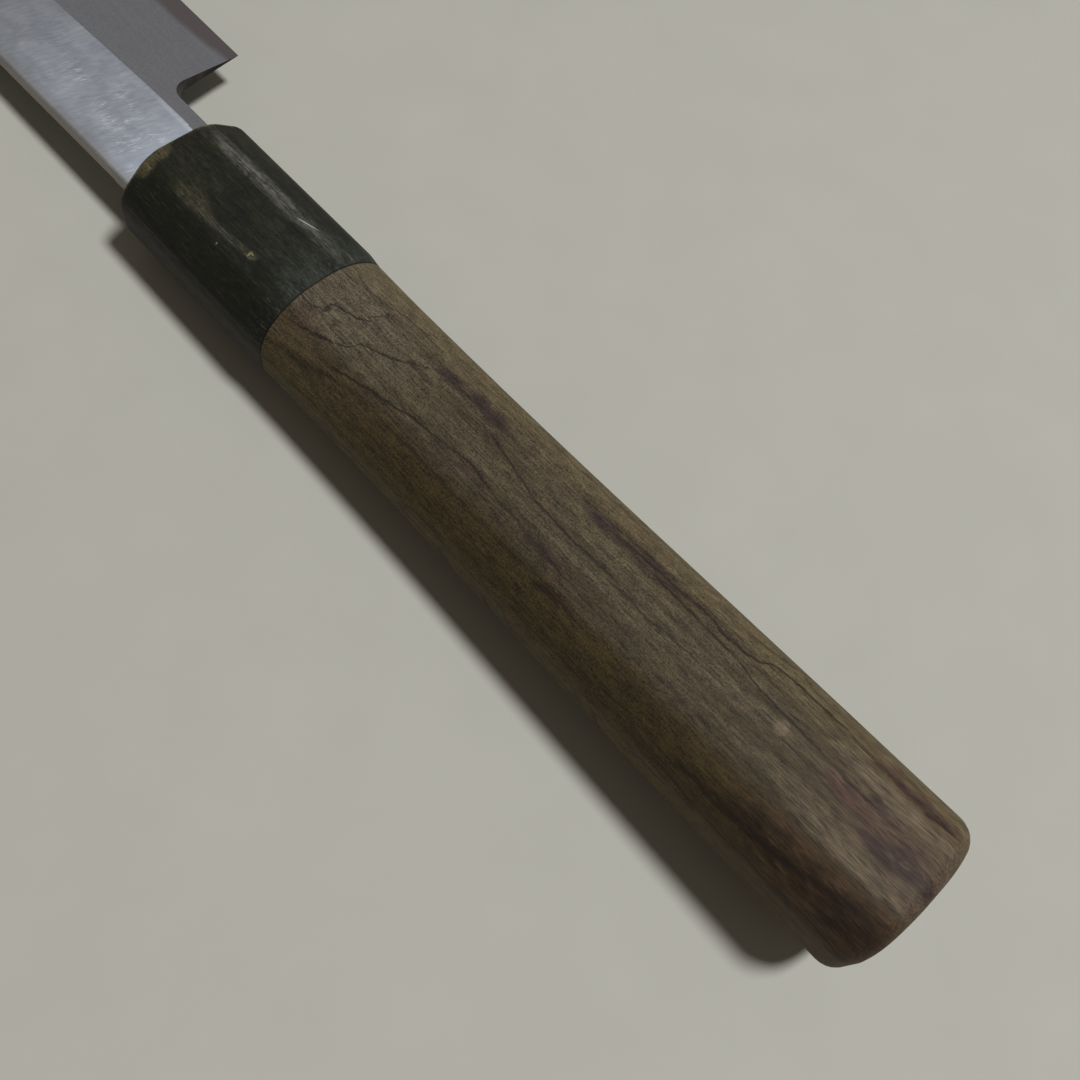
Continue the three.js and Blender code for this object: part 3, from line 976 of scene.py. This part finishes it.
horn_colour = bench.mix(bench.smooth(clouds, 0.35, 0.65), colour("0c0d07"), colour("1b1c13"))
horn_colour = bench.mix(bench.smooth(fibres, 0.4, 0.75) * 0.5, horn_colour, colour("27281d"))
horn_colour = bench.mix(bench.smooth(x, -16, -4) * 0.4, horn_colour, colour("1a1a0b"))
# Painted shade: the half towards the spine is darkened.
horn_colour = bench.mix(bench.smooth(y, 5.6, 8) * 0.75, horn_colour, colour("0a0a03"))
# Painted light: the low side facet on the spine's side is lighter, as if lit from the floor.
floor_lit_side = bench.smooth(z, 13.3, 12.9) * bench.smooth(y, 8, 10)
horn_colour = bench.mix(floor_lit_side * 0.8, horn_colour, colour("25221c"))
# A thin line along that facet's upper edge, worn and partly a painted highlight.
horn_colour = bench.mix(thin_line(bench, z - 13.1, 0.2) * floor_lit_side * 0.4, horn_colour, colour("4c4a42"))
# A bluish tint at the ground end by the joint, partly a painted sheen.
joint_tint_and_sheen = bench.smooth(x, -22, -34) * bench.smooth(clouds, 0.25, 0.6) * bench.smooth(y, 8.5, 5.5)
horn_colour = bench.mix(joint_tint_and_sheen * 0.7, horn_colour, colour("2a2e29"))
gold = spots(bench, x, y + waver * 2, [
    (-0.6, 6.4, 2.4, 2.4, 1.0), (-0.8, 3.4, 2, 2.4, 0.8), (-12, 5, 6, 1.6, 0.5),
    (-25, 4.9, 1.6, 0.6, 0.6),
])
horn_colour = bench.mix(gold * gold * on_top * flecks * 0.9, horn_colour, colour("6a5e3a"))
horn_colour = bench.mix(gold * on_top * 0.6, horn_colour, colour("4d4a39"))
# Painted highlight along the front rim's edge, mixed with its golden horn.
rim = bench.smooth(x, -0.8, -0.2) * bench.smooth(clouds, 0.35, 0.6)
horn_colour = bench.mix(rim * 0.7, horn_colour, colour("6a6044"))
pale_fibre = vein(bench, x, y + waver * 0.6, [(-27, 4.6), (-20, 5.2), (-8, 5.5)], 0.8, 0.35) * on_top
horn_colour = bench.mix(pale_fibre * bench.smooth(fibres, 0.3, 0.6), horn_colour, colour("51514a"))
dashes = bench.smooth(x, -30.5, -34.2) * hairs
horn_colour = bench.mix(dashes * 0.35, horn_colour, colour("68716d"))
horn_colour = bench.mix(hairs * (0.18 + bench.smooth(y, 5.6, 8) * 0.08), horn_colour, colour("505145"))
# Painted highlight: a broad lighter band along the ridge on the edge's side.
ridge_highlight_run = bench.smooth(x, 0, -9) * bench.smooth(x, -36, -20) * 0.7 + 0.2
ridge_highlight = bench.smooth(abs(y + 5.2 + waver), 2.1, 0.1) * on_top * ridge_highlight_run
horn_colour = bench.mix(ridge_highlight * bench.smooth(fibres, 0.1, 0.65) * 0.5, horn_colour, colour("7d7e77"))
fleck = spots(bench, x, y, [
    (-24.9, 4.6, 0.6, 0.2, 1.0), (-24.7, 4.8, 0.2, 0.6, 0.8), (-19.5, 7, 0.25, 0.2, 0.7)])
horn_colour = bench.mix(fleck * on_top, horn_colour, colour("8d8760"))
# Painted shade: an old gouge on the spine's side is drawn as a dark line, and pressed in a little.
shaded_crease = vein(bench, x, z + waver * 0.5, [(-33, 14.5), (-24, 13.9), (-12, 14.1), (-2, 15.2)], 0.5)
horn_colour = bench.mix(shaded_crease * bench.smooth(y, 8.5, 9.5) * 0.9, horn_colour, colour("070706"))
scratch_run = (x + 25.4) * 0.949 + (y + 5.3) * 0.316
scratch_side = (y + 5.3) * 0.949 - (x + 25.4) * 0.316
scratch = thin_line(bench, scratch_side, 0.12) * thin_line(bench, scratch_run, 2.4) * on_top
horn_colour = shade(bench, horn_colour, 1.0 + speckle * 1.8 + (fibres - 0.5) * 1.2 + mottle * 2.4)
horn_colour = bench.mix(scratch * 0.9, horn_colour, colour("c0c1ba"))
horn_colour = bench.mix(bench.smooth(x, JOINT_X + 0.2, JOINT_X + 0.06) * 0.7, horn_colour, colour("080806"))

relief = fibres * 0.5 + hairs * 0.3 + speckle * 0.3 - scratch - shaded_crease
surface(
    bench, Base_Color=horn_colour, Roughness=0.5 + fibres * 0.2, Specular_IOR_Level=0.2,
    Normal=bench.bump(relief, 0.02 * MM, 0.6))
paint(collar, [horn])
print("horn finish has", len(horn.node_tree.nodes), "nodes")

# %% [markdown]
# The flat was finished by hand with an abrasive drawn across the blade. Short bright strokes lie at
# slightly different angles over a soft grey ground, in patches and mostly near the collar. Stretched noises
# at different angles, each kept only where it is high, give such strokes, and they tilt the surface a bit.
# By the neck a narrow bright strip along the ridge is a painted highlight. The flat is also painted
# brighter by the collar and darker along the blade and by the spine, as painted reflection and shade.

# %% Flat finish
flat, bench = finish("brushed_flat")
place = bench.millimetres()
x, y, _ = bench.split(place)
spine_line, _, ridge_line = blade_lines(x)
brushing = bench.noise(place, (0.5, 2.6, 9), detail=3, turn=-0.25)
cloud = bench.noise(place, (7, 4, 9), detail=3, seed=2.1)
strokes = strongest([
    bench.smooth(bench.noise(place, (0.2, 2.2, 9), detail=2, turn=turn, seed=seed), 0.55, 0.76)
    for turn, seed in ((-0.1, 2.7), (-0.3, 6.1), (-0.5, 4.3))])
patches = spots(bench, x + cloud * 3, y, [
    (10, 2.5, 6, 8, 1.0), (18, 1, 7, 5, 0.8), (30, 2, 7, 4, 0.8), (24, -1.5, 5, 3, 0.7),
    (42, 1, 9, 6, 0.3)])
where = bench.smooth(bench.noise(place, (4, 3, 9), detail=2, seed=1.9), 0.36, 0.62)
worked = patches * where + bench.smooth(x, 60, 200) * where * 0.3
flat_colour = bench.mix(bench.smooth(cloud, 0.3, 0.7), colour("9da0a8"), colour("b0b3ba"))
flat_colour = shade(bench, flat_colour, 1.0 + (brushing - 0.5) * 0.5)
# Painted reflection: the flat is darker along the blade and brighter and bluer by the collar.
flat_colour = bench.mix(bench.smooth(x, 22, 60) * 0.7, flat_colour, colour("88898c"))
flat_colour = bench.mix(bench.smooth(x, 17, 5) * 0.45, flat_colour, colour("c8d2df"))
flat_colour = bench.mix(strokes * worked * 0.85, flat_colour, colour("f2f5fa"))
# Painted shade: the flat darkens where it turns towards the spine.
spine_shade = bench.smooth(y - spine_line, -2.6, -0.6)
flat_colour = bench.mix(spine_shade * 0.5, flat_colour, colour("94918d"))
# Painted highlight: a narrow bright strip along the ridge by the neck.
neck_ridge_highlight = bench.smooth(abs(y - ridge_line - 0.5), 0.7, 0.0) * bench.smooth(x, 21, 10)
flat_colour = bench.mix(neck_ridge_highlight * 0.28, flat_colour, colour("eef0f2"))
surface(
    bench, Base_Color=flat_colour, Metallic=1.0, Roughness=0.42 + brushing * 0.14,
    Normal=bench.bump(brushing * 0.4 + strokes * worked * 0.6, 0.006 * MM, 0.6))
print("flat finish has", len(flat.node_tree.nodes), "nodes")

# %% [markdown]
# The bevel was ground on stones that leave soft iron in a mist of fine scratches, and hard steel darker and
# clearer. The mist is even and matt. The steel shows as a browner band along the edge with a soft border,
# which narrows close to the heel. Both layers share this finish, so the border can drift across them.

# %% Bevel finish
bevel, bench = finish("misty_bevel")
place = bench.millimetres()
x, y, _ = bench.split(place)
_, edge_line, _ = blade_lines(x)
from_edge = y - edge_line
mist = bench.noise(place, (6, 3, 3), detail=3)
lines_along = bench.noise(place, (12, 0.3, 0.3), detail=2, seed=3.3)
dust = bench.noise(place, (0.5, 0.35, 0.35), detail=1, seed=8.8) - 0.5
drift = bench.noise(place, (9, 5, 5), detail=2, seed=5.5) - 0.5
band_width = 2.3 + 1.5 * bench.smooth(x, 18, 34) + drift * 1.4
band = bench.smooth(from_edge - band_width, 0.9, -0.9)
bevel_colour = bench.mix(mist, colour("7e7e81"), colour("868688"))
bevel_colour = bench.mix(bench.smooth(lines_along, 0.4, 0.7) * 0.1, bevel_colour, colour("a3a3a6"))
bevel_colour = shade(bench, bevel_colour, 1.0 + dust * 0.35)
bevel_colour = bench.mix(band * 0.85, bevel_colour, colour("6f6663"))
surface(
    bench, Base_Color=bevel_colour, Metallic=1.0, Roughness=0.52 - band * 0.12,
    Normal=bench.bump(lines_along, 0.004 * MM, 0.4))
print("bevel finish has", len(bevel.node_tree.nodes), "nodes")

# %% [markdown]
# The spine and the tang were ground on a belt and left plain, and the notch wall is painted dark as shade.
# The hollow back was polished along its length, and has duller hazy patches.

# %% Sides and back
sides, bench = finish("ground_sides")
place = bench.millimetres()
x, y, _ = bench.split(place)
marks = bench.noise(place, (0.3, 0.3, 4), detail=3)
stain = bench.noise(place, (5, 5, 5), detail=2, seed=2.5)
side_colour = bench.mix(marks, colour("857f7b"), colour("9e9893"))
side_colour = bench.mix(bench.smooth(stain, 0.5, 0.75) * 0.4, side_colour, colour("7d746e"))
# Painted shade: the notch wall behind the heel is darkened.
scale = bench.smooth(x, 22, 19.8) * bench.smooth(y, NECK_UNDERSIDE + 0.3, NECK_UNDERSIDE - 0.3)
scale = scale * (0.7 + bench.smooth(stain, 0.2, 0.6) * 0.3)
side_colour = bench.mix(scale * 0.9, side_colour, colour("282523"))
surface(
    bench, Base_Color=side_colour, Metallic=1.0, Roughness=0.4 + marks * 0.16 + scale * 0.2,
    Normal=bench.bump(marks, 0.005 * MM, 0.5))

back, bench = finish("hollow_back")
place = bench.millimetres()
polish_lines = bench.noise(place, (16, 0.24, 3), detail=3)
haze = bench.noise(place, (18, 6, 3), detail=2, seed=4.2)
back_colour = bench.mix(polish_lines, colour("a3a4a8"), colour("c2c3c7"))
back_colour = bench.mix(bench.smooth(haze, 0.5, 0.8) * 0.3, back_colour, colour("87827e"))
surface(
    bench, Base_Color=back_colour, Metallic=1.0, Roughness=0.24 + polish_lines * 0.16,
    Normal=bench.bump(polish_lines, 0.004 * MM, 0.5))


STEEP = 0.5
IRON_BEVEL_TILT = -0.05
STEEL_BEVEL_TILT = -0.02


def iron_face(polygon):
    if polygon.normal.z < -STEEP:
        return 3
    if polygon.normal.z < STEEP:
        return 2
    return 0 if polygon.normal.y > IRON_BEVEL_TILT else 1


def steel_face(polygon):
    if polygon.normal.z < -STEEP:
        return 0
    return 1 if polygon.normal.y < STEEL_BEVEL_TILT and polygon.normal.z > STEEP else 2


paint(iron, [flat, bevel, sides, back], iron_face)
paint(steel, [back, bevel, sides], steel_face)
print("blade finished with", len(iron.data.materials) + len(steel.data.materials), "finishes")

# %% [markdown]
# Three pieces stay as the CAD made them, because the handle hides them: the softwood core that the tang was
# burned into, the resin round the tang, and the seal in the collar's mouth. They get finishes of their own,
# so that the knife is right when it is taken apart.

# %% Hidden pieces
core_wood, bench = finish("core_softwood")
place = bench.millimetres()
rings = bench.noise(place, (40, 1.1, 1.1), detail=3)
fuzz = bench.noise(place, (3, 0.3, 0.3), detail=2, seed=1.1)
core_colour = bench.mix(bench.smooth(rings, 0.35, 0.65), colour("c9b38b"), colour("d8c7a5"))
core_colour = bench.mix(bench.smooth(fuzz, 0.5, 0.8) * 0.4, core_colour, colour("a88f66"))
surface(
    bench, Base_Color=core_colour, Roughness=0.75 + fuzz * 0.15,
    Normal=bench.bump(fuzz, 0.03 * MM, 0.6))

resin, bench = finish("brown_resin")
place = bench.millimetres()
swirl = bench.noise(place, (6, 3, 3), detail=3)
specks = bench.smooth(bench.noise(place, (0.5, 0.5, 0.5), detail=1, seed=6.6), 0.62, 0.7)
resin_colour = bench.mix(swirl, colour("3a2c19"), colour("56421f"))
resin_colour = bench.mix(specks * 0.5, resin_colour, colour("7d6538"))
surface(
    bench, Base_Color=resin_colour, Roughness=0.3 + swirl * 0.2,
    Normal=bench.bump(swirl, 0.03 * MM, 0.4))

hidden = {"core_dowel": core_wood, "tang_resin": resin, "mouth_seal": resin}
for name, material in hidden.items():
    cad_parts[name].material_slots[0].material = material
print("hidden pieces finished:", sorted(hidden))
